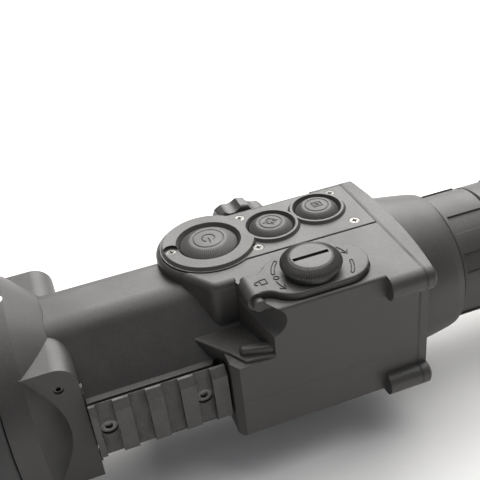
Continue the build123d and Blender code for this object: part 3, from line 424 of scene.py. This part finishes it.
def button_piece(node, sign, sign_ring, body, ribs):
    """Domed key: smooth top with an engraved ring and sign, ribbed slope, plain skirt, flange and stem."""
    low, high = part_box(node)
    x, y, _ = centre(node)
    flange = (high[0] - low[0]) / 2 / MM
    cap = flange - 0.8
    stem_low, crest = low[2] / MM, high[2] / MM
    flange_low, flange_high = crest - 4.9, crest - 3.9
    edge = crest - 2.1
    strokes = sign + [ring(sign_ring)]
    shoulder = sign_ring + 0.7
    rows = [cap * step / 64 for step in range(1, 64)]

    def height(radius, angle):
        dome = crest - 0.25 * (min(radius, shoulder) / shoulder) ** 2
        if radius > shoulder:
            slope = (radius - shoulder) / (cap - shoulder)
            dome -= (crest - 0.25 - edge) * slope ** 1.7
            fade = smoothstep(slope / 0.25) * smoothstep((1 - slope) / 0.12)
            dome += 0.07 * fade * math.cos(ribs * angle)
        return dome

    def cut(radius, angle):
        if radius > shoulder:
            return 0.0
        px, py = radius * math.cos(angle), radius * math.sin(angle)
        nearest = min(stroke_distance(px, py, stroke) for stroke in strokes)
        return smoothstep(1.5 - nearest / (PEN / 2) * 0.9)

    def profile(angle):
        line = [(r, height(r, angle) - PEN_DEPTH * cut(r, angle)) for r in rows]
        line += [(cap, edge - 0.1), (cap, flange_high), (flange, flange_high), (flange, flange_low),
                 (3.0, flange_low), (3.0, stem_low)]
        return line

    around = ribs * 6
    points, faces = turned_grid((x, y, 0), profile, around)
    # weights of painted shade along the engraved lines, for the material to darken
    groove_shade = []
    for step in range(around):
        angle = 2 * math.pi * step / around
        groove_shade += [0.85 * cut(r, angle) for r in rows] + [0.0] * 6
    groove_shade += [0.0, 0.0]
    obj = piece(node.replace("button", "key_top"), points, faces, "button", body, 50, groove_shade)
    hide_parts(node)


def add_buttons():
    button_piece("power_button", POWER_SIGN, 5.0, "power_key", 72)
    button_piece("calibrate_button", CROSS_SIGN, 3.7, "calibrate_key", 60)
    button_piece("menu_button", MENU_SIGN, 3.9, "menu_key", 60)


# Lid and knob --------------------------------------------------------------------

KNOB_RIBS = 84
COIN_SLOT = (11.4, 1.4, 4.4)      # cutter's length, width and height


def add_knob():
    """Knob with a finely ribbed bevel over a narrower skirt, and a coin slot."""
    low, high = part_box("lid_knob")
    radius = (high[0] - low[0]) / 2 / MM
    base = KNOB_TOP - 4.6
    rows = 10

    def profile(angle):
        line = [(radius * 0.35, KNOB_TOP), (radius * 0.6, KNOB_TOP), (radius * 0.67, KNOB_TOP - 0.03)]
        for step in range(rows + 1):
            share = step / rows
            bevel_radius = radius * (0.69 + 0.31 * math.sin(share * math.pi / 2))
            bevel_z = KNOB_TOP - 0.12 - 2.0 * share ** 1.35
            rib = 0.17 * smoothstep(share / 0.15) * math.cos(KNOB_RIBS * angle)
            line.append((bevel_radius + rib * share - 0.1, bevel_z + rib * (1 - share)))
        line += [(radius - 0.1, base + 1.9), (radius - 0.9, base + 1.4), (radius - 0.9, base), (2.5, base),
                 (2.5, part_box("lid_knob")[0][2] / MM)]
        return line

    points, faces = turned_grid((KNOB_X, KNOB_Y, 0), profile, KNOB_RIBS * 6)
    knob = piece("knob_cap", points, faces, "knob", "lid_lock", 50)
    cutter_mesh = bpy.data.meshes.new("slot_cutter")
    cutter = bpy.data.objects.new("slot_cutter", cutter_mesh)
    bpy.context.scene.collection.objects.link(cutter)
    bm = bmesh.new()
    bmesh.ops.create_cube(bm, size=1)
    bmesh.ops.scale(bm, vec=Vector(COIN_SLOT) * MM, verts=bm.verts)
    bmesh.ops.translate(bm, vec=Vector((KNOB_X, KNOB_Y, KNOB_TOP)) * MM, verts=bm.verts)
    bm.to_mesh(cutter_mesh)
    bm.free()
    cut = knob.modifiers.new("slot", "BOOLEAN")
    cut.operation, cut.object, cut.solver = "DIFFERENCE", cutter, "EXACT"
    depsgraph = bpy.context.evaluated_depsgraph_get()
    mesh = bpy.data.meshes.new_from_object(knob.evaluated_get(depsgraph))
    knob.modifiers.clear()
    knob.data = mesh
    bpy.data.objects.remove(cutter)
    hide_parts("lid_knob")


MARK_PEN, ARROW_PEN = 0.42, 0.46   # widths of the marks' lines
MARK_HEIGHT = 0.22
LOCK_SIGN = (-1.6, -25.5)


def lid_mark(name, path, width, closed=False):
    """Low raised line on the lid, with sloping sides, along a path of points in millimetres. Its near-black colour is
    painted shade, standing in for the shade along its sides.
    """
    points, faces = [], []
    count = len(path)
    section = ((-0.5, -0.6), (-0.34, 0.75), (0, 1.0), (0.34, 0.75), (0.5, -0.6))
    for index, here in enumerate(path):
        before = path[index - 1] if index or closed else here
        after = path[(index + 1) % count] if index < count - 1 or closed else here
        along = (Vector(after) - Vector(before)).normalized()
        across = Vector((0, 0, 1)).cross(along)
        for side, rise in section:
            points.append(Vector(here) + across * side * width + Vector((0, 0, rise * MARK_HEIGHT)))
    size = len(section)
    spans = count if closed else count - 1
    for index in range(spans):
        here, there = index * size, (index + 1) % count * size
        for row in range(size):
            following = (row + 1) % size
            faces.append((here + row, there + row, there + following, here + following))
    if not closed:
        faces.append(tuple(range(size)))
        faces.append(tuple(range((count - 1) * size, count * size))[::-1])
    piece(f"lid_mark_{name}", points, faces, "mark_painted_shade", "lid", 60)


def arc_path(radius, first, last, z, at=(KNOB_X, KNOB_Y), steps=16):
    angles = [math.radians(first + (last - first) * step / steps) for step in range(steps + 1)]
    return [(at[0] + radius * math.cos(a), at[1] + radius * math.sin(a), z) for a in angles]


def capsule_path(inner, outer, first, last, z):
    """Closed outline of an arc-shaped slot about the knob."""
    middle, half = (inner + outer) / 2, (outer - inner) / 2
    path = arc_path(outer, first, last, z)
    for end, start in ((last, 0), (first, 180)):
        tip = (KNOB_X + middle * math.cos(math.radians(end)), KNOB_Y + middle * math.sin(math.radians(end)))
        cap = arc_path(half, end + start, end + start + 180, z, tip, 6)[1:-1]
        path += cap
        if not start:
            path += arc_path(inner, last, first, z)
    return path


def add_lid_marks():
    """Arcs, arrows, a dot ring and an open-lock sign round the knob, coloured near-black as painted shade."""
    z = LID_Z
    lid_mark("arc_front", capsule_path(11.1, 12.1, 138, 167, z), MARK_PEN, True)
    lid_mark("arc_rear", capsule_path(11.9, 12.8, -35, -9, z), MARK_PEN, True)
    lid_mark("ring", arc_path(0.8, 0, 330, z, (2.5, -25.4), 11), MARK_PEN, True)
    for name, radius, first, last in (("front", 12.0, 188, 209), ("rear", 12.9, 30, 9)):
        shaft = arc_path(radius, first, last, z, steps=8)
        lid_mark(f"arrow_{name}", shaft, ARROW_PEN)
        tip = Vector(shaft[-1])
        back = (Vector(shaft[-2]) - tip).normalized()
        for side, letter in ((-1, "a"), (1, "b")):
            barb = tip + Matrix.Rotation(side * math.radians(35), 3, "Z") @ back * 1.9
            lid_mark(f"barb_{name}_{letter}", [tip, (tip + barb) / 2, barb], ARROW_PEN)
    x, y = LOCK_SIGN
    body = [(x + dx, y + dy, z) for dx, dy in ((-1.0, -1.1), (0.9, -1.1), (0.9, 1.1), (-1.0, 1.1))]
    lid_mark("lock_body", body, ARROW_PEN, True)
    shackle = [(x - 1.0, y + 0.7, z), (x - 2.0, y + 0.7, z)]
    shackle += arc_path(0.75, 90, 270, z, (x - 2.0, y - 0.05), 8)[1:]
    lid_mark("lock_shackle", shackle, ARROW_PEN)


DOT_X, DOT_TURN, DOT_RADIUS = -76.9, -2.2, 1.7   # turn in degrees from straight up


def add_index_dot():
    """White dot on top of the bell, a little behind the focus ring. It follows the bell's curve."""
    centre_x, centre_turn, size, sides = DOT_X, math.radians(DOT_TURN), DOT_RADIUS, 28
    points = []
    for reach, lift in ((1.0, -0.2), (1.0, 0.04), (0.93, 0.08), (0, 0.08)):
        for side in range(sides):
            angle = math.tau * side / sides
            turn = centre_turn + reach * size * math.sin(angle) / BELL_RADIUS
            radius = BELL_RADIUS + lift
            points.append((centre_x + reach * size * math.cos(angle), radius * math.sin(turn),
                           AXIS_Z + radius * math.cos(turn)))
            if not reach:
                break
    faces = [tuple(range(sides))[::-1]]
    for row in (0, sides):
        faces += [(row + k, row + (k + 1) % sides, row + sides + (k + 1) % sides, row + sides + k)
                  for k in range(sides)]
    faces += [(2 * sides + k, 2 * sides + (k + 1) % sides, 3 * sides) for k in range(sides)]
    piece("index_dot", points, faces, "mark", "scope")


# Room ----------------------------------------------------------------------------

LIGHT_COLOUR = (1.0, 0.99, 0.97)
SKY_COLOUR, SKY_STRENGTH = (0.93, 0.95, 1.0), 0.3
FLOOR_HALF = 6.0                  # metres


def area_light(name, place, target, size, power):
    """Rectangular lamp in metres and watts, aimed at a target."""
    data = bpy.data.lights.new(name, "AREA")
    data.shape, data.size, data.size_y = "RECTANGLE", size[0], size[1]
    data.energy, data.color = power, LIGHT_COLOUR
    lamp = bpy.data.objects.new(name, data)
    lamp.location = place
    lamp.rotation_euler = (Vector(place) - Vector(target)).to_track_quat("Z", "Y").to_euler()
    bpy.context.scene.collection.objects.link(lamp)


def add_room():
    """Pale floor under broad light from above and behind."""
    scene = bpy.context.scene
    scene.view_settings.view_transform = "Standard"
    half, z = FLOOR_HALF, FLOOR_Z
    mesh = bpy.data.meshes.new("floor")
    mesh.from_pydata([(-half, -half, z), (half, -half, z), (half, half, z), (-half, half, z)], [], [(0, 1, 2, 3)])
    floor = bpy.data.objects.new("floor", mesh)
    s = Shader("pale_floor")
    tone = s.mix(s.spread(s.noise(120, 3), 0, 1), (0.86, 0.855, 0.845), (0.9, 0.895, 0.885))
    s.link(tone, s.principled.inputs["Base Color"])
    s.socket("Roughness", 0.8)
    s.socket("Specular IOR Level", 0.2)
    mesh.materials.append(s.material)
    scene.collection.objects.link(floor)
    world = bpy.data.worlds.new("studio")
    scene.world = world
    world.use_nodes = True
    background = world.node_tree.nodes["Background"]
    background.inputs["Color"].default_value = (*SKY_COLOUR, 1)
    background.inputs["Strength"].default_value = SKY_STRENGTH
    area_light("overhead", (0.2, 0.2, 0.95), (0, 0, 0.03), (1.3, 1.0), 12)
    area_light("behind", (0.56, 1.0, 0.8), (0, 0, 0.05), (1.5, 0.9), 27)


add_camera()
dress_frame()
add_buttons()
add_knob()
add_lid_marks()
add_index_dot()
add_room()
